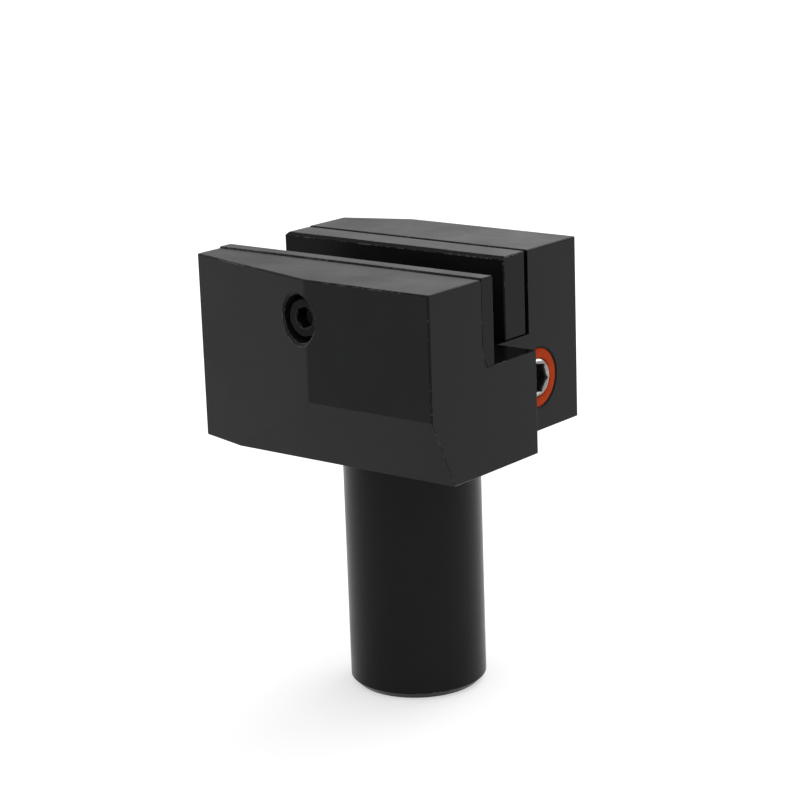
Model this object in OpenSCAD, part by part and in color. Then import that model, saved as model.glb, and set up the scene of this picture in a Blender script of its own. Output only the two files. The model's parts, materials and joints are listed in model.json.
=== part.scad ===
// Radial square-shank tool holder for a lathe turret: a block on a round rack shank, with an open
// slot for the turning tool, a support plate, a screw-driven clamp plate and a swivelling coolant
// ball. The origin is on the shank's axis at the flange face. +Z runs up from the flange, +X along
// the slot towards the tool's tip, and +Y towards the clamp screws at the back.

/* [Block] */
// Length of the block along the tool slot
block_l = 70; // [66:1:80]
// Height of the block above the flange face
block_h = 40; // [39:1:46]
// Distance from the shank's axis to the front face
front_y = 37; // [36:0.5:42]
// Distance from the shank's axis to the back face
back_y = 27.5; // [27:0.5:32]
// Distance from the shank's axis to the rear part's end face
rear_end_x = 25; // [25:0.5:28]
// Distance in front of the shank's axis where the step down to the rear part starts
step_y = 1.6; // [0.5:0.1:3]
// Width of the small chamfer on the block's edges
edge_c = 0.25; // [0.2:0.05:0.8]

/* [Reliefs] */
// Place along X where the front face starts to slope back
front_kink_x = 3.5; // [2:0.5:10]
// How far the front face slopes back at the far end
front_slope = 10; // [4:0.5:11]
// Place along X where the back face starts to slope in
back_kink_x = -19.4; // [-21:0.2:-19]
// How far the back face slopes in at the far end
back_slope = 5.8; // [2:0.2:6]
// Height of the big chamfer under the front face
lower_c_h = 14.6; // [8:0.2:16]
// Depth of the big chamfer under the front face
lower_c_d = 7; // [3:0.5:8]

/* [Tool slot] */
// Height of the slot's floor above the flange face
slot_floor = 22; // [21:0.5:23]
// Distance in front of the shank's axis to the slot's front wall, the height of a 20 mm tool
slot_front = 20; // [19:0.5:21]
// Distance behind the shank's axis to the slot's rear wall
slot_back = 9.7; // [9.2:0.1:10]
// Thickness of the support plate
support_t = 3.8; // [3:0.1:4.5]
// How far the support plate stands above the block's top
support_rise = 0.3; // [0:0.1:0.6]
// Thickness of the clamp plate
clamp_t = 7.5; // [7:0.1:8]
// Gap between the clamp plate and the slot's rear wall at rest
clamp_gap = 1; // [0.5:0.1:1.2]

/* [Shank] */
// Diameter of the round shank
shank_d = 30; // [29:0.5:30]
// Length of the round shank below the flange face
shank_l = 57; // [52:1:60]
// Distance from one rack tooth to the next
rack_pitch = 4; // [4:1:5]
// Number of rack teeth
rack_teeth = 9; // [4:1:9]

/* [Screws] */
// Place of the support plate's screw along X
support_screw_x = 1; // [-6:0.5:6]
// Height of the support plate's screw
support_screw_z = 31.4; // [30:0.2:32]
// Number of clamp screws in the row along the back
clamp_screws = 3; // [3]
// Distance from one clamp screw to the next
clamp_pitch = 22; // [21.5:0.1:22]
// Height of the clamp and pull screws
clamp_z = 31; // [30:0.5:32]

/* [Coolant nozzle] */
// Distance behind the shank's axis to the nozzle's axis
nozzle_y = 12.9; // [12.5:0.1:13.2]
// Height of the nozzle's axis
nozzle_z = 11.7; // [11.2:0.1:12.5]
// Diameter of the nozzle ball
ball_d = 11; // [10.6:0.2:11]
// Turn of the ball's hexagon socket about its own axis
ball_turn = -10; // [-30:5:30]

/* [Hidden] */
$fn = 72;

// Finishes
blackened = [0.14, 0.14, 0.15];
dark_steel = [0.22, 0.22, 0.24];
bright_steel = [0.78, 0.78, 0.80];
seal_rubber = [0.05, 0.05, 0.06];
ring_orange = [0.80, 0.27, 0.10];

// Clearances: past a cut face, round a screw in its thread, and in a running fit
over = 1;
thread_gap = 0.05;
fit_gap = 0.05;

// Screws: chamfers, and lengths as a share of the head, the key or the thread
socket_mouth_c = 0.3;
screw_tip_c = 0.6;
cap_rim_c = 0.5;
cap_neck_share = 0.35;
cap_socket_share = 0.6;
point_c = 0.2;
set_screw_end_c = 0.7;
set_screw_socket_share = 0.8;
fine_pitch = 1;
plug_point_l = 0.4;

// Block outline, anticlockwise from the front left corner
far_x = -block_l / 2;
near_x = block_l / 2;
block_outline = [
    [far_x, -front_y + front_slope],
    [front_kink_x, -front_y],
    [near_x, -front_y],
    [near_x, -step_y],
    [rear_end_x, -step_y],
    [rear_end_x, back_y],
    [back_kink_x, back_y],
    [far_x, back_y - back_slope]
];
front_wall_outline = [
    [far_x, -front_y + front_slope],
    [front_kink_x, -front_y],
    [near_x, -front_y],
    [near_x, -slot_front],
    [far_x, -slot_front]
];
rear_wall_outline = [
    [rear_end_x, slot_back],
    [rear_end_x, back_y],
    [back_kink_x, back_y],
    [far_x, back_y - back_slope],
    [far_x, slot_back]
];

// Tool slot: its front lower corner is filled by a chamfer that the support plate clears
corner_c_y = 1.4;
corner_c_z = 2.6;
corner_gap = 0.1;
seat_gap = 0.02;
plate_c = 0.3;

// Support plate's screw: a cap screw with an 8.5 mm head and a 5 mm thread
cap_thread_d = 5;
cap_head_d = 8.5;
cap_head_h = 5;
cap_key = 4;
cap_length = 12;
cap_pitch = 0.8;
cap_recess = 1.95;
cap_key_turn = 18;
cap_hole_d = 5.5;
cap_counterbore_d = 10;
cap_mouth_c = 0.6;
washer_t = 1.6;
washer_d = 8.3;
washer_hole_d = 5.2;
washer_slit = 0.6;
slope_angle = atan2(front_slope, front_kink_x - far_x);
cap_mouth_y = -front_y + (front_kink_x - support_screw_x) * tan(slope_angle);
cap_head_y = cap_mouth_y + cap_recess;
cap_seat_y = cap_head_y + cap_head_h + washer_t;

// Clamp screws: 10 mm set screws with a dog point that sits in a shallow socket
clamp_d = 10;
clamp_lead = 1.5;
clamp_length = 16;
clamp_key = 5;
dog_d = 6.8;
dog_l = 1.6;
dog_socket_d = 7.2;
dog_socket_depth = 0.9;
clamp_front_y = slot_back - clamp_gap - clamp_t;
clamp_back_y = slot_back - clamp_gap;
clamp_floor_gap = 0.12;
clamp_corner_c = 0.8;
clamp_top_c = 0.7;
clamp_centre_x = (rear_end_x + far_x) / 2;
dog_tip_y = clamp_back_y - dog_socket_depth;
function clamp_screw_x(i) = clamp_centre_x + (i - (clamp_screws + 1) / 2) * clamp_pitch;

// Pull screws: 4 mm cap screws with springs under their heads, between the clamp screws
pull_d = 4;
pull_head_d = 7;
pull_head_h = 4;
pull_key = 3;
pull_length = 18;
pull_pitch = 0.7;
pull_hole_d = 4.6;
pull_counterbore_d = 7.8;
pull_web = 3;
pull_thread_depth = 6.2;
spring_l = 9;
spring_wire_d = 0.7;
spring_mean_d = 5.7;
spring_turns = 5;
spring_seat_y = slot_back + pull_web;
pull_head_y = spring_seat_y + spring_l;
function pull_screw_x(i) = clamp_centre_x + (i - 1.5) * clamp_pitch;

// Coolant nozzle: ball, retaining ring and seal in one pocket
pocket_d = 13;
pocket_depth = 10;
pocket_mouth_c = 0.3;
ball_depth = 3.9;
ball_flat = 4;
ball_key = 6;
ball_key_depth = 3.4;
ball_bore_d = 3.5;
ring_l = 3.6;
ring_recess = 0.1;
ring_mouth_d = 8.6;
ring_c = 0.25;
inner_seal_t = 3;
inner_seal_d = 12.8;
inner_seal_bore_d = 5.5;
inner_seal_gap = 0.05;
ball_x = rear_end_x - ball_depth;
seat_r = ball_d / 2 + fit_gap;

// Coolant drillings: a long one behind the nozzle, one across it and two inlets from the flange
drill_d = 5;
inlet_x = -22;
inlet_y = 12.5;
plug_d = 8;
plug_l = 8;
plug_key = 4;
plug_recess = 0.5;
plug_tip_d = 6.4;
cross_plug_end_y = 24.4;
small_plug_d = 6;
small_plug_l = 5;
small_plug_key = 3;
small_plug_tip_d = 4.4;
small_plug_recess = 1;
inlet_seal_d = 7.5;
inlet_seal_section = 1.5;
inlet_seat_d = 9.4;
flange_seal_d = 34.4;
flange_seal_section = 2;
groove_gap = 0.1;

// Shank
shank_r = shank_d / 2;
shank_end_c = 1.5;
rack_flat_y = 12.7;
rack_depth = 1.6;
rack_flank = 0.3;
rack_start = 9;
// Where the round wall's seam lies, clear of the rack
shank_seam = 22;

// The corner after corner i of outline p, and the one before it
function after(p, i) = p[(i + 1) % len(p)];
function before(p, i) = p[(i + len(p) - 1) % len(p)];

// A corner sticks out if the outline turns left there
function sticks_out(p, i) = cross(p[i] - before(p, i), after(p, i) - p[i]) > 0;

// Outline p with each corner that sticks out cut back by c along both of its sides
function cut_corners(p, c) = [
    for (i = [0 : len(p) - 1])
        each sticks_out(p, i)
            ? [p[i] + c * unit(before(p, i) - p[i]), p[i] + c * unit(after(p, i) - p[i])]
            : [p[i]]
];
function unit(v) = v / norm(v);

// Section of a plain ring-grooved thread of radius r from height a to height b: each groove has two
// sloping flanks and a narrow flat root, placed by its share of the pitch
function thread_section(r, pitch, a, b) =
    let (count = floor((b - a) / pitch), depth = 0.54 * pitch)
    [
        for (i = [0 : count - 1])
            each [
                [r, a + (i + 0.12) * pitch],
                [r - depth, a + (i + 0.45) * pitch],
                [r - depth, a + (i + 0.60) * pitch],
                [r, a + (i + 0.93) * pitch]
            ]
    ];

// A chamfer cutter along every edge of outline p at height z, above it (side 1) or below it (-1)
module edge_cutters(p, z, c, side) {
    for (i = [0 : len(p) - 1]) {
        start_over = sticks_out(p, i) ? over : 0;
        end_over = sticks_out(p, (i + 1) % len(p)) ? over : 0;
        edge = after(p, i) - p[i];
        translate([p[i].x, p[i].y, z])
            rotate([0, 0, atan2(edge.y, edge.x)])
                translate([-start_over, 0, 0])
                    rotate([90, 0, 90])
                        linear_extrude(norm(edge) + start_over + end_over)
                            polygon([
                                [c, 0],
                                [0, -side * c],
                                [-c, -side * c],
                                [-c, side * c],
                                [c, side * c]
                            ]);
    }
}

// A straight prism on outline p with chamfered edges all round
module chamfered_prism(p, h, c) {
    difference() {
        linear_extrude(h)
            polygon(cut_corners(p, c));
        edge_cutters(p, h, c, 1);
        edge_cutters(p, 0, c, -1);
    }
}

// Places what follows on the back, looking along -Y, with its own +Z pointing out of the block
module facing_back(x, y, z) {
    translate([x, y, z])
        rotate([-90, 0, 0])
            children();
}

// Places what follows on the front, with its own +Z pointing out of the block
module facing_front(x, y, z) {
    translate([x, y, z])
        rotate([90, 0, 0])
            children();
}

// Hexagon socket cutter: the mouth is at height 0, and the flats go down by depth to a drill point
module hex_socket(key, depth) {
    key_r = key / 2 / cos(30);
    point_r = 0.8 * key_r;
    point_h = 0.35 * key_r;
    translate([0, 0, -depth])
        cylinder(r = key_r, h = depth + over, $fn = 6);
    translate([0, 0, -depth - point_h])
        cylinder(r1 = point_r / 3, r2 = point_r, h = point_h + 0.01);
    translate([0, 0, -socket_mouth_c])
        cylinder(r1 = key_r - socket_mouth_c, r2 = key_r + over, h = socket_mouth_c + over);
}

// Cap screw: the head's top is at height 0, and the thread points down from a plain neck
module cap_screw(thread_d, head_d, head_h, length, key, pitch) {
    r = thread_d / 2 - thread_gap;
    head_r = head_d / 2;
    tip = -head_h - length;
    neck = -head_h - cap_neck_share * length;
    difference() {
        rotate_extrude()
            polygon(concat(
                [[0, tip], [r - screw_tip_c, tip], [r, tip + screw_tip_c]],
                thread_section(r, pitch, tip + screw_tip_c, neck),
                [[r, -head_h], [head_r, -head_h], [head_r, -cap_rim_c], [head_r - cap_rim_c, 0], [0, 0]]
            ));
        hex_socket(key, cap_socket_share * head_h);
    }
}

// Set screw: the socket's end is at height 0, and it points down to a flat tip or a dog point
module set_screw(thread_d, length, key, pitch, point_d, point_l) {
    r = thread_d / 2 - thread_gap;
    point_r = point_d / 2;
    shoulder = -length + point_l + r - point_r;
    difference() {
        rotate_extrude()
            polygon(concat(
                [[0, -length], [point_r - point_c, -length], [point_r, -length + point_c]],
                [[point_r, -length + point_l], [r, shoulder]],
                thread_section(r, pitch, shoulder, -set_screw_end_c),
                [[r, -set_screw_end_c], [r - set_screw_end_c, 0], [0, 0]]
            ));
        hex_socket(key, set_screw_socket_share * key);
    }
}

// Round sealing ring lying flat, centred on height 0
module seal_ring(mean_d, section) {
    rotate_extrude()
        translate([mean_d / 2, 0])
            circle(d = section, $fn = 32);
}

// Forged block and shank in one piece
module holder_body() {
    color(blackened)
    difference() {
        union() {
            linear_extrude(block_h)
                polygon(cut_corners(block_outline, edge_c));
            shank();
        }
        tool_slot_cut();
        lower_chamfer_cut();
        edge_cutters(front_wall_outline, block_h, edge_c, 1);
        edge_cutters(rear_wall_outline, block_h, edge_c, 1);
        edge_cutters(block_outline, 0, edge_c, -1);
        support_screw_hole();
        clamp_holes();
        nozzle_pocket();
        coolant_drillings();
        flange_groove();
    }
}

// Shank with a chamfered end and the rack cut into its back
module shank() {
    difference() {
        rotate([0, 0, shank_seam])
            rotate_extrude()
                polygon([
                    [0, over],
                    [shank_r, over],
                    [shank_r, -shank_l + shank_end_c],
                    [shank_r - shank_end_c, -shank_l],
                    [0, -shank_l]
                ]);
        rack_cut();
    }
}

// Flat along the shank's back with saw-tooth grooves across it: a steep flank, a long one and a land
module rack_cut() {
    top = -rack_start;
    bottom = top - rack_teeth * rack_pitch;
    land = 0.2 * rack_pitch;
    translate([-shank_r, 0, 0])
        rotate([90, 0, 90])
            linear_extrude(shank_d)
                polygon(concat(
                    [[shank_r + over, bottom], [shank_r + over, top], [rack_flat_y, top]],
                    [
                        for (i = [0 : rack_teeth - 1])
                            each [
                                [rack_flat_y - rack_depth, top - i * rack_pitch - rack_flank],
                                [rack_flat_y, top - (i + 1) * rack_pitch + land],
                                [rack_flat_y, top - (i + 1) * rack_pitch]
                            ]
                    ]
                ));
}

// Open slot along the block, with its front lower corner left filled
module tool_slot_cut() {
    translate([far_x - over, 0, 0])
        rotate([90, 0, 90])
            linear_extrude(block_l + 2 * over)
                polygon([
                    [-slot_front, slot_floor + corner_c_z],
                    [-slot_front + corner_c_y, slot_floor],
                    [slot_back, slot_floor],
                    [slot_back, block_h + over],
                    [-slot_front, block_h + over]
                ]);
}

// Big chamfer along the underside of the front
module lower_chamfer_cut() {
    reach = over / lower_c_h;
    translate([far_x - over, 0, 0])
        rotate([90, 0, 90])
            linear_extrude(block_l + 2 * over)
                polygon([
                    [-front_y - reach * lower_c_d, lower_c_h + over],
                    [-front_y + (1 + reach) * lower_c_d, -over],
                    [-front_y - over, -over],
                    [-front_y - over, lower_c_h + over]
                ]);
}

// Stepped hole for the support plate's screw, with a chamfer round its mouth on the sloping face
module support_screw_hole() {
    facing_front(support_screw_x, 0, support_screw_z) {
        translate([0, 0, slot_front - over])
            cylinder(d = cap_hole_d, h = front_y);
        translate([0, 0, -cap_seat_y])
            cylinder(d = cap_counterbore_d, h = front_y);
    }
    translate([support_screw_x, cap_mouth_y, support_screw_z])
        rotate([90, 0, -slope_angle])
            translate([0, 0, -cap_mouth_c])
                cylinder(
                    r1 = cap_counterbore_d / 2,
                    r2 = cap_counterbore_d / 2 + cap_mouth_c + over,
                    h = cap_mouth_c + over
                );
}

// Threaded holes for the clamp screws and stepped holes for the pull screws
module clamp_holes() {
    for (i = [1 : clamp_screws])
        facing_back(clamp_screw_x(i), slot_back - over, clamp_z)
            cylinder(d = clamp_d, h = back_y);
    for (i = [1 : clamp_screws - 1]) {
        facing_back(pull_screw_x(i), slot_back - over, clamp_z)
            cylinder(d = pull_hole_d, h = back_y);
        facing_back(pull_screw_x(i), spring_seat_y, clamp_z)
            cylinder(d = pull_counterbore_d, h = back_y);
    }
}

// Pocket for the nozzle ball, open at the rear part's end face
module nozzle_pocket() {
    translate([rear_end_x - pocket_depth, nozzle_y, nozzle_z])
        rotate([0, 90, 0]) {
            cylinder(d = pocket_d, h = pocket_depth + over);
            translate([0, 0, pocket_depth - pocket_mouth_c])
                cylinder(d1 = pocket_d, d2 = pocket_d + 2 * over, h = over);
        }
}

// Long drilling behind the nozzle, drilling across it and the two inlets from the flange face
module coolant_drillings() {
    translate([far_x - over, nozzle_y, nozzle_z])
        rotate([0, 90, 0]) {
            cylinder(d = drill_d, h = block_l);
            cylinder(d = plug_d, h = plug_recess + plug_l + over);
        }
    translate([inlet_x, -inlet_y, nozzle_z])
        rotate([-90, 0, 0])
            cylinder(d = drill_d, h = inlet_y + back_y);
    facing_back(inlet_x, cross_plug_end_y - plug_l, nozzle_z)
        cylinder(d = plug_d, h = back_y);
    for (side = [-1, 1])
        translate([inlet_x, side * inlet_y, -over])
            cylinder(d = drill_d, h = nozzle_z + over);
    translate([inlet_x, -inlet_y, -over])
        cylinder(d = small_plug_d, h = small_plug_recess + small_plug_l + over);
    translate([inlet_x, inlet_y, -over])
        cylinder(d = inlet_seat_d, h = inlet_seal_section + groove_gap + over);
}

// Groove in the flange face round the root of the shank
module flange_groove() {
    groove_r = (flange_seal_section + 2 * groove_gap) / 2;
    translate([0, 0, -over])
        difference() {
            cylinder(r = flange_seal_d / 2 + groove_r, h = flange_seal_section + groove_gap + over);
            translate([0, 0, -over])
                cylinder(r = flange_seal_d / 2 - groove_r, h = flange_seal_section + 3 * over);
        }
}

// Hardened plate that the turning tool lies against
module support_plate() {
    back = -slot_front + seat_gap;
    face = -slot_front + support_t;
    low = slot_floor + seat_gap;
    top = block_h + support_rise;
    color(blackened)
    translate([far_x, 0, 0])
        difference() {
            rotate([90, 0, 90])
                linear_extrude(block_l)
                    polygon([
                        [back, slot_floor + corner_c_z + corner_gap],
                        [-slot_front + corner_c_y + corner_gap, low],
                        [face - plate_c, low],
                        [face, low + plate_c],
                        [face, top - plate_c],
                        [face - plate_c, top],
                        [back + plate_c, top],
                        [back, top - plate_c]
                    ]);
            facing_front(support_screw_x - far_x, face + over, support_screw_z)
                cylinder(d = cap_thread_d, h = support_t + 2 * over);
        }
}

// Cap screw through the front wall into the support plate
module support_plate_screw() {
    color(dark_steel)
    facing_front(support_screw_x, cap_head_y, support_screw_z)
        rotate([0, 0, cap_key_turn])
            cap_screw(cap_thread_d, cap_head_d, cap_head_h, cap_length, cap_key, cap_pitch);
}

// Split spring washer under that screw's head
module support_screw_washer() {
    color(dark_steel)
    facing_front(support_screw_x, cap_seat_y, support_screw_z)
        difference() {
            cylinder(d = washer_d, h = washer_t);
            translate([0, 0, -over])
                cylinder(d = washer_hole_d, h = washer_t + 2 * over);
            translate([0, -washer_slit / 2, -over])
                cube([washer_d, washer_slit, washer_t + 2 * over]);
        }
}

// Thick plate that the clamp screws push against the tool
module clamp_plate() {
    h = block_h - slot_floor - clamp_floor_gap;
    plate_outline = [
        [far_x, clamp_front_y],
        [rear_end_x, clamp_front_y],
        [rear_end_x, clamp_back_y],
        [far_x, clamp_back_y]
    ];
    color(blackened)
    difference() {
        translate([0, 0, slot_floor + clamp_floor_gap])
            chamfered_prism(plate_outline, h, edge_c);
        translate([far_x, 0, block_h])
            rotate([0, 45, 0])
                cube([sqrt(2) * clamp_corner_c, 4 * clamp_t, sqrt(2) * clamp_corner_c], center = true);
        translate([0, clamp_front_y, block_h])
            rotate([45, 0, 0])
                cube([2 * block_l, sqrt(2) * clamp_top_c, sqrt(2) * clamp_top_c], center = true);
        for (i = [1 : clamp_screws])
            facing_back(clamp_screw_x(i), dog_tip_y, clamp_z)
                cylinder(d = dog_socket_d, h = clamp_t);
        for (i = [1 : clamp_screws - 1])
            facing_back(pull_screw_x(i), clamp_back_y - pull_thread_depth, clamp_z)
                cylinder(d = pull_d, h = clamp_t);
    }
}

// Clamp screw number i, counted from the far end
module clamp_screw(i) {
    color(dark_steel)
    facing_back(clamp_screw_x(i), dog_tip_y + clamp_length, clamp_z)
        set_screw(clamp_d, clamp_length, clamp_key, clamp_lead, dog_d, dog_l);
}

// Pull screw number i, which draws the clamp plate back when the clamp screws are eased
module pull_screw(i) {
    color(dark_steel)
    facing_back(pull_screw_x(i), pull_head_y + pull_head_h, clamp_z)
        cap_screw(pull_d, pull_head_d, pull_head_h, pull_length, pull_key, pull_pitch);
}

// Coil spring under the head of pull screw i
module return_spring(i) {
    color(bright_steel)
    facing_back(pull_screw_x(i), spring_seat_y, clamp_z)
        coil(spring_mean_d / 2, spring_wire_d / 2, spring_l, spring_turns);
}

// Coil of round wire from height 0 to height l, with one closed turn at each end
module coil(mean_r, wire_r, l, turns) {
    sides = 8;
    steps = 24;
    rings = turns * steps;
    low = wire_r + seat_gap;
    high = l - wire_r - seat_gap;
    closed = 2 * wire_r + seat_gap;
    function height(t) =
        t < 1 ? low + closed * t
        : t > turns - 1 ? high - closed * (turns - t)
        : low + closed + (high - low - 2 * closed) * (t - 1) / (turns - 2);
    points = [
        for (k = [0 : rings])
            let (t = k / steps, a = 360 * t)
            for (s = [0 : sides - 1])
                let (b = 360 * s / sides, r = mean_r + wire_r * cos(b))
                [r * cos(a), r * sin(a), height(t) + wire_r * sin(b)]
    ];
    wall = [
        for (k = [0 : rings - 1], s = [0 : sides - 1])
            let (n = (s + 1) % sides)
            [k * sides + s, k * sides + n, (k + 1) * sides + n, (k + 1) * sides + s]
    ];
    start_cap = [[for (s = [sides - 1 : -1 : 0]) s]];
    end_cap = [[for (s = [0 : sides - 1]) rings * sides + s]];
    polyhedron(points, concat(wall, start_cap, end_cap));
}

// Ball with a flat front, a hexagon socket and a bore through it
module nozzle_ball() {
    color(bright_steel)
    translate([ball_x, nozzle_y, nozzle_z])
        rotate([0, 90, 0])
            rotate([0, 0, 90 + ball_turn])
                difference() {
                    sphere(d = ball_d);
                    translate([0, 0, ball_flat])
                        cylinder(d = ball_d, h = ball_d);
                    translate([0, 0, -ball_d])
                        cylinder(d = ball_bore_d, h = 2 * ball_d);
                    translate([0, 0, ball_flat])
                        hex_socket(ball_key, ball_key_depth);
                }
}

// Orange ring that holds the ball in its pocket and lets it swivel
module nozzle_retaining_ring() {
    color(ring_orange)
    translate([ball_x, nozzle_y, nozzle_z])
        rotate([0, 90, 0])
            difference() {
                rotate_extrude() {
                    r = pocket_d / 2 - seat_gap;
                    mouth_r = ring_mouth_d / 2;
                    front = ball_depth - ring_recess;
                    polygon([
                        [mouth_r, front - ring_l],
                        [r, front - ring_l],
                        [r, front - ring_c],
                        [r - ring_c, front],
                        [mouth_r + ring_c, front],
                        [mouth_r, front - ring_c]
                    ]);
                }
                sphere(r = seat_r);
            }
}

// Soft seat behind the ball
module nozzle_inner_seal() {
    seal_back = -pocket_depth + ball_depth + inner_seal_gap;
    color(seal_rubber)
    translate([ball_x, nozzle_y, nozzle_z])
        rotate([0, 90, 0])
            difference() {
                translate([0, 0, seal_back])
                    cylinder(d = inner_seal_d, h = inner_seal_t);
                translate([0, 0, seal_back - over])
                    cylinder(d = inner_seal_bore_d, h = inner_seal_t + 2 * over);
                sphere(r = seat_r + inner_seal_gap);
            }
}

// Set screw that closes the long drilling's outer end
module gallery_plug() {
    color(dark_steel)
    translate([far_x + plug_recess, nozzle_y, nozzle_z])
        rotate([0, -90, 0])
            set_screw(plug_d, plug_l, plug_key, fine_pitch, plug_tip_d, plug_point_l);
}

// Set screw that closes the cross drilling's outer end
module cross_gallery_plug() {
    color(dark_steel)
    facing_back(inlet_x, cross_plug_end_y, nozzle_z)
        set_screw(plug_d, plug_l, plug_key, fine_pitch, plug_tip_d, plug_point_l);
}

// Set screw that closes the coolant inlet that isn't in use
module inlet_plug() {
    color(dark_steel)
    translate([inlet_x, -inlet_y, small_plug_recess])
        rotate([180, 0, 0])
            set_screw(
                small_plug_d, small_plug_l, small_plug_key, fine_pitch, small_plug_tip_d, plug_point_l
            );
}

// Sealing ring round the open coolant inlet
module inlet_seal_ring() {
    color(seal_rubber)
    translate([inlet_x, inlet_y, inlet_seal_section / 2 + groove_gap / 2])
        seal_ring(inlet_seal_d, inlet_seal_section);
}

// Sealing ring round the root of the shank
module flange_seal_ring() {
    color(seal_rubber)
    translate([0, 0, flange_seal_section / 2 + groove_gap / 2])
        seal_ring(flange_seal_d, flange_seal_section);
}

holder_body();
support_plate();
support_plate_screw();
support_screw_washer();
clamp_plate();
clamp_screw(1);  // clamp_screw_1
clamp_screw(2);  // clamp_screw_2
clamp_screw(3);  // clamp_screw_3
pull_screw(1);  // pull_screw_1
pull_screw(2);  // pull_screw_2
return_spring(1);  // return_spring_1
return_spring(2);  // return_spring_2
nozzle_ball();
nozzle_retaining_ring();
nozzle_inner_seal();
gallery_plug();
cross_gallery_plug();
inlet_plug();
inlet_seal_ring();
flange_seal_ring();
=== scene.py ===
"""Studio view of a quick-change turret tool holder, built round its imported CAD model.

Every size here is in metres, in the CAD model's own frame: the origin is on the round shank's axis
at the flange face, +Z runs up through the block, +X along the tool slot and +Y to the back.
"""

import json
import math

import bmesh
import bpy
from mathutils import Matrix, Vector


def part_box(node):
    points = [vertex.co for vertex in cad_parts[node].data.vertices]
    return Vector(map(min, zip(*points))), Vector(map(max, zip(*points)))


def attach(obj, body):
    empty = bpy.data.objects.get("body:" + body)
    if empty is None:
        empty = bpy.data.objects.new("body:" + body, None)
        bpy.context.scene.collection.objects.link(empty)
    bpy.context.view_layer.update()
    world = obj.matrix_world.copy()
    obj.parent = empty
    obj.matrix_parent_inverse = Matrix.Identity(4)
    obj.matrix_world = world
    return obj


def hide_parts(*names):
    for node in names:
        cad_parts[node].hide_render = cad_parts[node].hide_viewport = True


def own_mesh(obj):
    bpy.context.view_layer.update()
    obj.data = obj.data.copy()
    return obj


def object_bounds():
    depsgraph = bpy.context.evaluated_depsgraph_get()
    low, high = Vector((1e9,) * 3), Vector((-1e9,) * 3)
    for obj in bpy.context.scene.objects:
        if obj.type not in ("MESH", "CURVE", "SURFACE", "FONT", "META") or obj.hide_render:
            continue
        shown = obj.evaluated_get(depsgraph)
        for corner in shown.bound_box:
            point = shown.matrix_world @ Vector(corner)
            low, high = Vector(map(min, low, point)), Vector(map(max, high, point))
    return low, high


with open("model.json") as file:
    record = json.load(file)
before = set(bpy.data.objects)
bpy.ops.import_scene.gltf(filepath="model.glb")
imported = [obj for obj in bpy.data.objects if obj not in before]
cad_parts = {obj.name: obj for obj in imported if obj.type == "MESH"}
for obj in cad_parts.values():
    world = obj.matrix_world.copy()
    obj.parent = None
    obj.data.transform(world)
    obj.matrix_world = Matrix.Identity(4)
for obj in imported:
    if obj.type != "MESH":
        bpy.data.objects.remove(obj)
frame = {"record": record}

CAD_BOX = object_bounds()
MM = 0.001


# --- Shader building ------------------------------------------------------------------------------


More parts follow.
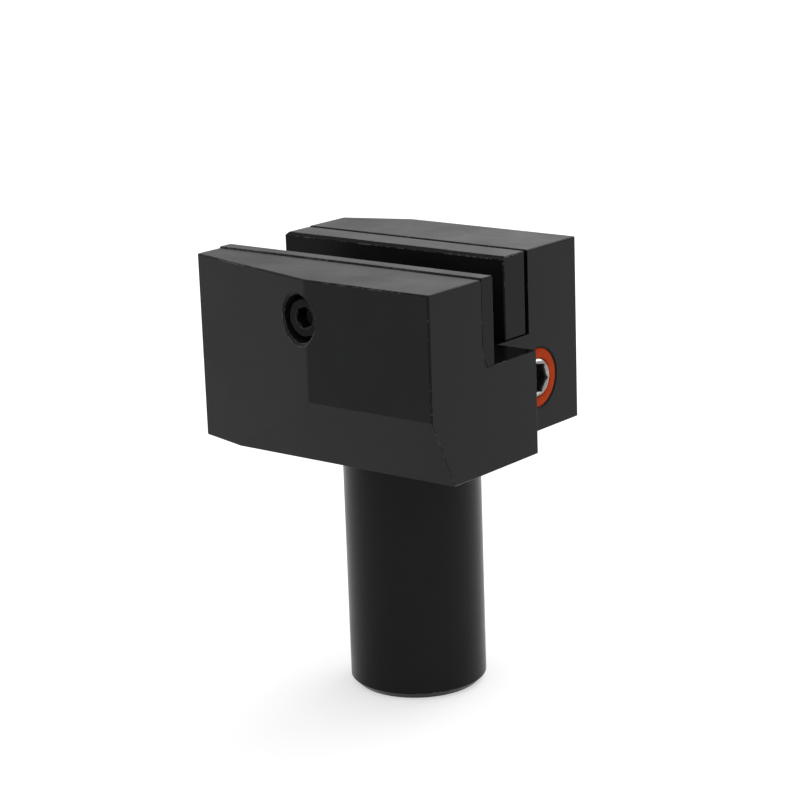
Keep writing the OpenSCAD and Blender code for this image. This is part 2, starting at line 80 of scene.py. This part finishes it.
class Shader:
    """A material with short calls for the nodes that the finishes below are made of."""

    def __init__(self, name):
        self.material = bpy.data.materials.new(name)
        self.material.use_nodes = True
        self.tree = self.material.node_tree
        self.surface = self.tree.nodes["Principled BSDF"]
        self.coords = self.tree.nodes.new("ShaderNodeTexCoord").outputs["Object"]

    def join(self, value, socket):
        """Link an output, or write a plain value, to a socket."""
        if isinstance(value, bpy.types.NodeSocket):
            self.tree.links.new(value, socket)
        else:
            socket.default_value = value

    def constant(self, **values):
        """Plain values on the surface's own sockets, with _ for each space in a socket's name."""
        for name, value in values.items():
            self.surface.inputs[name.replace("_", " ")].default_value = value

    def stretched(self, scale):
        """The object's coordinates times a scale along each axis."""
        node = self.tree.nodes.new("ShaderNodeMapping")
        node.inputs["Scale"].default_value = scale
        self.join(self.coords, node.inputs["Vector"])
        return node.outputs["Vector"]

    def noise(self, scale, detail=4.0, roughness=0.55, vector=None, distortion=0.0):
        node = self.tree.nodes.new("ShaderNodeTexNoise")
        node.inputs["Scale"].default_value = scale
        node.inputs["Detail"].default_value = detail
        node.inputs["Roughness"].default_value = roughness
        node.inputs["Distortion"].default_value = distortion
        self.join(self.coords if vector is None else vector, node.inputs["Vector"])
        return node.outputs["Fac"]

    def cells(self, scale, vector=None):
        """Distance to the nearest point of a scatter of points."""
        node = self.tree.nodes.new("ShaderNodeTexVoronoi")
        node.inputs["Scale"].default_value = scale
        self.join(self.coords if vector is None else vector, node.inputs["Vector"])
        return node.outputs["Distance"]

    def remap(self, value, low, high, to_low, to_high, smooth=False):
        """A value from one range to another, held at the ends."""
        node = self.tree.nodes.new("ShaderNodeMapRange")
        node.interpolation_type = "SMOOTHSTEP" if smooth else "LINEAR"
        self.join(value, node.inputs["Value"])
        for name, limit in (
            ("From Min", low), ("From Max", high), ("To Min", to_low), ("To Max", to_high)
        ):
            node.inputs[name].default_value = limit
        return node.outputs["Result"]

    def maths(self, operation, a, b=0.0):
        node = self.tree.nodes.new("ShaderNodeMath")
        node.operation = operation
        self.join(a, node.inputs[0])
        self.join(b, node.inputs[1])
        return node.outputs[0]

    def part_of(self, vector, axis):
        """One of a vector's three numbers."""
        node = self.tree.nodes.new("ShaderNodeSeparateXYZ")
        self.join(vector, node.inputs[0])
        return node.outputs[axis]

    def normal_along(self, axis):
        """How far the surface faces along an axis, whichever way."""
        geometry = self.tree.nodes.new("ShaderNodeNewGeometry")
        return self.maths("ABSOLUTE", self.part_of(geometry.outputs["True Normal"], axis))

    def mix(self, share, a, b):
        """Colour a where the share is 0 and colour b where it is 1."""
        node = self.tree.nodes.new("ShaderNodeMix")
        node.data_type = "RGBA"
        self.join(share, node.inputs["Factor"])
        self.join(a, node.inputs["A"])
        self.join(b, node.inputs["B"])
        return node.outputs["Result"]

    def between(self, share, a, b):
        """Number a where the share is 0 and number b where it is 1."""
        node = self.tree.nodes.new("ShaderNodeMix")
        node.data_type = "FLOAT"
        self.join(share, node.inputs[0])
        self.join(a, node.inputs[2])
        self.join(b, node.inputs[3])
        return node.outputs[0]

    def scaled(self, colour, factor):
        """A colour times a number."""
        node = self.tree.nodes.new("ShaderNodeVectorMath")
        node.operation = "SCALE"
        self.join(colour, node.inputs[0])
        self.join(factor, node.inputs["Scale"])
        return node.outputs[0]

    def bump(self, *layers):
        """Bumps from (height, depth in metres) layers, the coarse ones first."""
        normal = None
        for height, depth in layers:
            node = self.tree.nodes.new("ShaderNodeBump")
            node.inputs["Strength"].default_value = 1.0
            node.inputs["Distance"].default_value = depth
            self.join(height, node.inputs["Height"])
            if normal is not None:
                self.join(normal, node.inputs["Normal"])
            normal = node.outputs["Normal"]
        self.join(normal, self.surface.inputs["Normal"])

    def colour(self, value):
        self.join(value, self.surface.inputs["Base Color"])

    def rough(self, value):
        self.join(value, self.surface.inputs["Roughness"])

    def metal(self, value):
        self.join(value, self.surface.inputs["Metallic"])


def grey(value, warmth=0.0):
    """A nearly neutral colour, a little bluer where warmth is below 0."""
    return (value * (1 + warmth), value, value * (1 - warmth), 1.0)


# --- Finishes -------------------------------------------------------------------------------------

BLACK_OXIDE = 0.0068
BARE_STEEL = 0.07
BLACK_IOR = 1.195
PLATE_IOR = 1.18

# On the ball: how far from its axis the socket and the faced ring reach, and how far in front of its
# centre the painted socket shade stops. The socket is coloured dark as painted shade and the faced
# ring greyer than the dome as a painted dark reflection. Each finish fades between its two values.
SOCKET_REACH = (2.9 * MM, 3.2 * MM)
FACED_REACH = (3.70 * MM, 3.85 * MM)
SOCKET_SHADE_FRONT = (3.1 * MM, 3.9 * MM)


def black_oxide(name, streak_scale, roughness, tone=1.0, grain=1.0):
    """Black oxide over machined steel: fine cutting marks, oil-dark blotches and a tight grain."""
    s = Shader(name)
    streaks = s.noise(1.0, 5.0, 0.7, s.stretched(streak_scale))
    add_oxide(s, streaks, roughness, tone, grain, PLATE_IOR)
    return s.material


def holder_oxide(name):
    """The holder's black oxide: milled on the block, ground and oily on the shank, ground smoother in
    the slot, where painted shade darkens the colour.
    """
    s = Shader(name)
    height = s.part_of(s.coords, "Z")
    shank = s.remap(height, -0.2 * MM, 0.0, 1.0, 0.0)
    milled = s.noise(1.0, 5.0, 0.7, s.stretched(ALONG_SLOT))
    ground = s.noise(1.0, 5.0, 0.7, s.stretched(ROUND_SHANK))
    streaks = s.between(shank, milled, ground)
    above_floor = s.remap(height, SLOT_FLOOR - 0.2 * MM, SLOT_FLOOR, 0.0, 1.0)
    slot_ground_and_shaded = s.maths("MULTIPLY", above_floor, slot_width(s))
    roughness = s.between(slot_ground_and_shaded, s.between(shank, 0.42, 0.30), 0.22)
    # painted shade: in the slot the colour is darkened to 0.35 of the block's
    tone = s.between(slot_ground_and_shaded, s.between(shank, 1.0, 0.75), 0.35)
    add_oxide(s, streaks, roughness, tone, 1.0, BLACK_IOR)
    return s.material


def slot_width(s):
    """1 between the tool slot's walls and 0 outside them."""
    across = s.part_of(s.coords, "Y")
    past_front = s.remap(across, SLOT_FRONT - 0.1 * MM, SLOT_FRONT, 0.0, 1.0)
    past_back = s.remap(across, SLOT_BACK, SLOT_BACK + 0.1 * MM, 1.0, 0.0)
    return s.maths("MULTIPLY", past_front, past_back)


def add_oxide(s, streaks, roughness, tone, grain, ior):
    """Colour, gloss and grain of black oxide with the given cutting marks."""
    blotches = s.noise(70.0, 3.0, 0.6)
    grit = s.noise(9000.0, 3.0, 0.7)
    shade = s.maths("ADD", s.maths("MULTIPLY", streaks, 0.35), s.maths("MULTIPLY", blotches, 0.65))
    dark = grey(0.80 * BLACK_OXIDE, -0.03)
    light = grey(1.22 * BLACK_OXIDE, -0.05)
    s.colour(s.scaled(s.mix(s.remap(shade, 0.32, 0.68, 0.0, 1.0), dark, light), tone))
    patchy = s.remap(blotches, 0.3, 0.7, -0.05, 0.05)
    lined = s.remap(streaks, 0.3, 0.7, -0.04, 0.04)
    uneven = s.maths("ADD", patchy, lined)
    s.rough(s.maths("ADD", uneven, roughness))
    s.constant(IOR=ior)
    s.bump((streaks, grain * 1.2e-6), (grit, grain * 2.2e-6))


def worn_edge(name, tone=1.0):
    """Edges coloured darker than the faces, where the black has rubbed through to steel in scattered
    specks.
    """
    s = Shader(name)
    patches = s.noise(1100.0, 5.0, 0.7)
    spread = s.noise(60.0, 2.0, 0.5)
    clustered = s.maths("ADD", patches, s.remap(spread, 0.35, 0.65, -0.12, 0.12))
    wear = s.remap(clustered, 0.50, 0.64, 0.0, 1.0)
    s.colour(s.mix(wear, grey(0.5 * BLACK_OXIDE, -0.04), grey(tone * BARE_STEEL, -0.02)))
    s.metal(s.remap(wear, 0.0, 1.0, 0.0, 0.6))
    s.rough(s.remap(patches, 0.3, 0.7, 0.30, 0.46))
    s.constant(IOR=1.13)
    s.bump((patches, 3e-6))
    return s.material


def oiled_screw(name):
    """Screw steel, blackened and slightly oily, with cold-forming grain."""
    s = Shader(name)
    blotches = s.noise(350.0, 4.0, 0.6)
    grit = s.noise(7000.0, 3.0, 0.7)
    s.colour(s.mix(s.remap(blotches, 0.35, 0.65, 0.0, 1.0), grey(0.0020, -0.04), grey(0.0045, -0.04)))
    s.rough(s.remap(blotches, 0.3, 0.7, 0.28, 0.42))
    s.constant(IOR=1.17)
    s.bump((blotches, 4e-6), (grit, 2e-6))
    return s.material


def spring_wire(name):
    """Bright drawn wire with faint die lines and a little oil."""
    s = Shader(name)
    lines = s.noise(2600.0, 3.0, 0.6)
    s.colour(s.mix(s.remap(lines, 0.3, 0.7, 0.0, 1.0), grey(0.34, 0.01), grey(0.50, 0.01)))
    s.rough(s.remap(lines, 0.3, 0.7, 0.22, 0.38))
    s.constant(Metallic=1.0)
    s.bump((lines, 1.5e-6))
    return s.material


def turned_ball(name, centre):
    """Turned steel with fine rings about its axis: bright dome, faced ring greyed as a painted
    reflection, socket darkened as painted shade.
    """
    s = Shader(name)
    shifted = s.tree.nodes.new("ShaderNodeVectorMath")
    shifted.operation = "SUBTRACT"
    s.join(s.coords, shifted.inputs[0])
    shifted.inputs[1].default_value = centre
    place = shifted.outputs[0]
    across = s.maths(
        "SQRT",
        s.maths(
            "ADD",
            s.maths("POWER", s.part_of(place, "Y"), 2.0),
            s.maths("POWER", s.part_of(place, "Z"), 2.0),
        ),
    )
    combined = s.tree.nodes.new("ShaderNodeCombineXYZ")
    s.join(across, combined.inputs[0])
    rings = s.noise(16000.0, 2.0, 0.5, combined.outputs[0])
    smears = s.noise(500.0, 3.0, 0.6)
    facing = s.normal_along("X")
    within = s.remap(across, *SOCKET_REACH, 1.0, 0.0)
    side_on = s.remap(facing, 0.2, 0.5, 1.0, 0.0)
    below = s.remap(s.part_of(place, "X"), *SOCKET_SHADE_FRONT, 1.0, 0.0)
    # painted shade: the socket and the side-on walls behind its front are coloured dark and less
    # metallic
    socket_shade = s.maths("MULTIPLY", s.maths("MAXIMUM", within, side_on), below)
    smeared = s.remap(smears, 0.3, 0.7, 0.0, 1.0)
    dome = s.mix(smeared, grey(0.45, 0.01), grey(0.66, 0.01))
    # painted dark reflection: the faced ring's steel colour is made greyer than the dome's
    faced = s.mix(smeared, grey(0.15, 0.03), grey(0.32, 0.03))
    bright = s.mix(s.remap(across, *FACED_REACH, 1.0, 0.0), dome, faced)
    s.colour(s.mix(socket_shade, bright, grey(0.012, 0.02)))
    s.metal(s.remap(socket_shade, 0.0, 1.0, 1.0, 0.2))
    s.rough(s.remap(smears, 0.3, 0.7, 0.20, 0.36))
    s.bump((rings, 1.2e-6))
    return s.material


def moulded_orange(name):
    """Matte moulded plastic with a fine spark-eroded grain."""
    s = Shader(name)
    tint = s.noise(420.0, 3.0, 0.5)
    grain = s.cells(5200.0)
    s.colour(
        s.mix(s.remap(tint, 0.35, 0.65, 0.0, 1.0), (0.26, 0.023, 0.001, 1), (0.335, 0.033, 0.002, 1))
    )
    s.rough(s.remap(tint, 0.3, 0.7, 0.50, 0.62))
    s.constant(IOR=1.13)
    s.bump((grain, 6e-6))
    return s.material


def black_rubber(name):
    """Matte sealing rubber with mould grain and a trace of dust."""
    s = Shader(name)
    dust = s.noise(800.0, 4.0, 0.7)
    grain = s.noise(6000.0, 2.0, 0.6)
    s.colour(s.mix(s.remap(dust, 0.45, 0.75, 0.0, 1.0), grey(0.006), grey(0.018)))
    s.rough(s.remap(grain, 0.3, 0.7, 0.55, 0.75))
    s.constant(IOR=1.4)
    s.bump((grain, 5e-6))
    return s.material


ALONG_SLOT = (60.0, 5200.0, 5200.0)
ROUND_SHANK = (900.0, 900.0, 9000.0)

JOINTS = {joint["name"]: joint for joint in frame["record"]["behaviour"]["joints"]}
BALL_JOINT = JOINTS["nozzle_swivel"]
BALL_CENTRE = Vector(BALL_JOINT["pos_m"])

CLAMP_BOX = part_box("clamp_plate")
SUPPORT_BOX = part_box("support_plate")
UNDER_CLAMP = 0.12 * MM
BEHIND_CLAMP = 1.0 * MM
SLOT_FLOOR = CLAMP_BOX[0].z - UNDER_CLAMP
SLOT_FRONT = SUPPORT_BOX[0].y
SLOT_BACK = CLAMP_BOX[1].y + BEHIND_CLAMP

block_black = holder_oxide("holder_black_oxide")
plate_black = black_oxide("plate_black_oxide", ALONG_SLOT, 0.38, tone=0.55)
edge_black = worn_edge("worn_edge")
screw_edge = worn_edge("worn_screw_edge", tone=0.8)
screw_black = oiled_screw("oiled_screw")
wire_bright = spring_wire("spring_wire")
ball_bright = turned_ball("turned_ball", BALL_CENTRE)
ring_orange = moulded_orange("moulded_orange")
rubber_black = black_rubber("seal_rubber")


# --- CAD nodes that stay --------------------------------------------------------------------------


def dress(node, *materials):
    """Give a CAD node its finishes, the first one on every face."""
    obj = bpy.data.objects[node]
    obj.data.materials.clear()
    for material in materials:
        obj.data.materials.append(material)
    return obj


def soften_edges(obj, width, edge_slot=None, angle=32.0):
    """Merge the flat faces' triangles, then round the sharp edges off a little."""
    weld = obj.modifiers.new("weld", "WELD")
    weld.merge_threshold = 1e-6
    flat = obj.modifiers.new("flat", "DECIMATE")
    flat.decimate_type = "DISSOLVE"
    flat.angle_limit = math.radians(0.6)
    bevel = obj.modifiers.new("bevel", "BEVEL")
    bevel.width = width
    bevel.segments = 2
    bevel.limit_method = "ANGLE"
    bevel.angle_limit = math.radians(angle)
    bevel.use_clamp_overlap = False
    bevel.harden_normals = False
    if edge_slot is not None:
        bevel.material = edge_slot
    normals = obj.modifiers.new("normals", "WEIGHTED_NORMAL")
    normals.keep_sharp = True


holder = dress("holder_body", block_black, edge_black)
soften_edges(holder, 0.08 * MM, edge_slot=1)
for name in ("support_plate", "clamp_plate"):
    plate = dress(name, plate_black, edge_black)
    soften_edges(plate, 0.10 * MM, edge_slot=1)
for name in (
    "support_plate_screw", "support_screw_washer", "clamp_screw_1", "clamp_screw_2", "clamp_screw_3",
    "pull_screw_1", "pull_screw_2", "gallery_plug", "cross_gallery_plug", "inlet_plug",
):
    screw = dress(name, screw_black, screw_edge)
    soften_edges(screw, 0.05 * MM, edge_slot=1, angle=40.0)
soften_edges(dress("nozzle_ball", ball_bright), 0.06 * MM, angle=35.0)
soften_edges(dress("nozzle_retaining_ring", ring_orange), 0.06 * MM)
for name in ("nozzle_inner_seal", "inlet_seal_ring", "flange_seal_ring"):
    dress(name, rubber_black)


# --- Return springs -------------------------------------------------------------------------------

WIRE_SIDES = 14
STEPS_A_TURN = 48
SPRING_WIRE = 0.7 * MM
SPRING_TURNS = 5
CLOSED_PITCH = 1.03


def coil_spring(name, start, length, mean_d, wire_d, turns):
    """A compression spring of round wire along +Y: open turns, with one closed turn at each end."""
    rows = turns * STEPS_A_TURN
    closed = STEPS_A_TURN
    end_rise = wire_d * CLOSED_PITCH
    open_rise = length - wire_d - 2 * end_rise
    mesh = bmesh.new()
    rings = []
    for row in range(rows + 1):
        if row <= closed:
            along = end_rise * row / closed
        elif row >= rows - closed:
            along = length - wire_d - end_rise * (rows - row) / closed
        else:
            along = end_rise + open_rise * (row - closed) / (rows - 2 * closed)
        turn = 2 * math.pi * row / STEPS_A_TURN
        out = Vector((math.cos(turn), 0, math.sin(turn)))
        centre = start + out * mean_d / 2 + Vector((0, wire_d / 2 + along, 0))
        rings.append([
            mesh.verts.new(
                centre
                + out * (wire_d / 2 * math.cos(2 * math.pi * i / WIRE_SIDES))
                + Vector((0, wire_d / 2 * math.sin(2 * math.pi * i / WIRE_SIDES), 0))
            )
            for i in range(WIRE_SIDES)
        ])
    for low, high in zip(rings, rings[1:]):
        for i in range(WIRE_SIDES):
            j = (i + 1) % WIRE_SIDES
            mesh.faces.new((low[i], high[i], high[j], low[j])).smooth = True
    mesh.faces.new(rings[0])
    mesh.faces.new(reversed(rings[-1]))
    bmesh.ops.recalc_face_normals(mesh, faces=mesh.faces)
    data = bpy.data.meshes.new(name)
    mesh.to_mesh(data)
    mesh.free()
    piece = bpy.data.objects.new(name, data)
    bpy.context.scene.collection.objects.link(piece)
    return piece


def add_return_spring(number):
    """The coil in place of a CAD spring."""
    node = f"return_spring_{number}"
    low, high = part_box(node)
    length = high.y - low.y
    mean_d = high.x - low.x - SPRING_WIRE
    start = Vector(((low.x + high.x) / 2, low.y, (low.z + high.z) / 2))
    name = f"return_coil_{number}"
    piece = coil_spring(name, start, length, mean_d, SPRING_WIRE, SPRING_TURNS)
    piece.data.materials.append(wire_bright)
    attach(piece, "holder")
    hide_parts(node)
    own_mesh(piece)


add_return_spring(1)
add_return_spring(2)


# --- Camera ---------------------------------------------------------------------------------------

CAMERA_AZIMUTH = math.radians(39.0)
CAMERA_ELEVATION = math.radians(14.54)
CAMERA_ROLL = math.radians(-2.01)
CAMERA_DISTANCE = 502.2 * MM
CAMERA_AIM = Vector((0, 0, 10 * MM))
CAMERA_OFFSET = (2.0 * MM, 3.5 * MM)
SENSOR = 36.0
FOCAL_LENGTH = 104.8


def add_camera():
    """A long lens at the height and angle from which the holder is looked at."""
    az, el = CAMERA_AZIMUTH, CAMERA_ELEVATION
    back = Vector((math.sin(az) * math.cos(el), -math.cos(az) * math.cos(el), math.sin(el)))
    right = Vector((math.cos(az), math.sin(az), 0))
    up = back.cross(right)
    right, up = (
        right * math.cos(CAMERA_ROLL) + up * math.sin(CAMERA_ROLL),
        up * math.cos(CAMERA_ROLL) - right * math.sin(CAMERA_ROLL),
    )
    data = bpy.data.cameras.new("camera")
    data.sensor_width = SENSOR
    data.lens = FOCAL_LENGTH
    data.clip_start = 0.01
    data.clip_end = 50
    camera = bpy.data.objects.new("camera", data)
    place = CAMERA_AIM + back * CAMERA_DISTANCE - right * CAMERA_OFFSET[0] - up * CAMERA_OFFSET[1]
    turn = Matrix((right, up, back)).transposed().to_4x4()
    camera.matrix_world = Matrix.Translation(place) @ turn
    bpy.context.scene.collection.objects.link(camera)
    bpy.context.scene.camera = camera


add_camera()


# --- Floor and light ------------------------------------------------------------------------------

FLOOR_SIZE = 80.0
WORLD_STRENGTH = 1.05


def add_floor(z):
    """Plain pale floor that the shank's end stands on."""
    mesh = bpy.data.meshes.new("floor")
    half = FLOOR_SIZE / 2
    corners = [(-half, -half, z), (half, -half, z), (half, half, z), (-half, half, z)]
    mesh.from_pydata(corners, [], [(0, 1, 2, 3)])
    floor = bpy.data.objects.new("floor", mesh)
    material = bpy.data.materials.new("floor")
    material.use_nodes = True
    shader = material.node_tree.nodes["Principled BSDF"]
    shader.inputs["Base Color"].default_value = (0.5, 0.5, 0.5, 1)
    shader.inputs["Roughness"].default_value = 0.9
    shader.inputs["Specular IOR Level"].default_value = 0.0
    shader.inputs["Emission Color"].default_value = (1, 1, 1, 1)
    shader.inputs["Emission Strength"].default_value = 0.5
    mesh.materials.append(material)
    bpy.context.scene.collection.objects.link(floor)


def add_area_light(name, place, size, power):
    """Soft box at a place, facing the origin."""
    data = bpy.data.lights.new(name, "AREA")
    data.shape = "RECTANGLE"
    data.size, data.size_y = size
    data.energy = power
    light = bpy.data.objects.new(name, data)
    light.location = place
    light.rotation_mode = "QUATERNION"
    light.rotation_quaternion = (-Vector(place)).to_track_quat("-Z", "Y")
    bpy.context.scene.collection.objects.link(light)


def add_world(strength):
    """Even white surroundings."""
    world = bpy.data.worlds.new("studio")
    world.use_nodes = True
    background = world.node_tree.nodes["Background"]
    background.inputs["Color"].default_value = (1, 1, 1, 1)
    background.inputs["Strength"].default_value = strength
    bpy.context.scene.world = world


add_floor(CAD_BOX[0].z)
add_world(WORLD_STRENGTH)
add_area_light("overhead", (0.0, 0.1, 0.9), (0.9, 0.9), 2)
add_area_light("back", (0.1, 1.0, 0.75), (0.8, 0.8), 5)
add_area_light("low back", (-0.35, 0.9, 0.6), (0.7, 0.7), 1.4)
bpy.context.scene.view_settings.view_transform = "Standard"
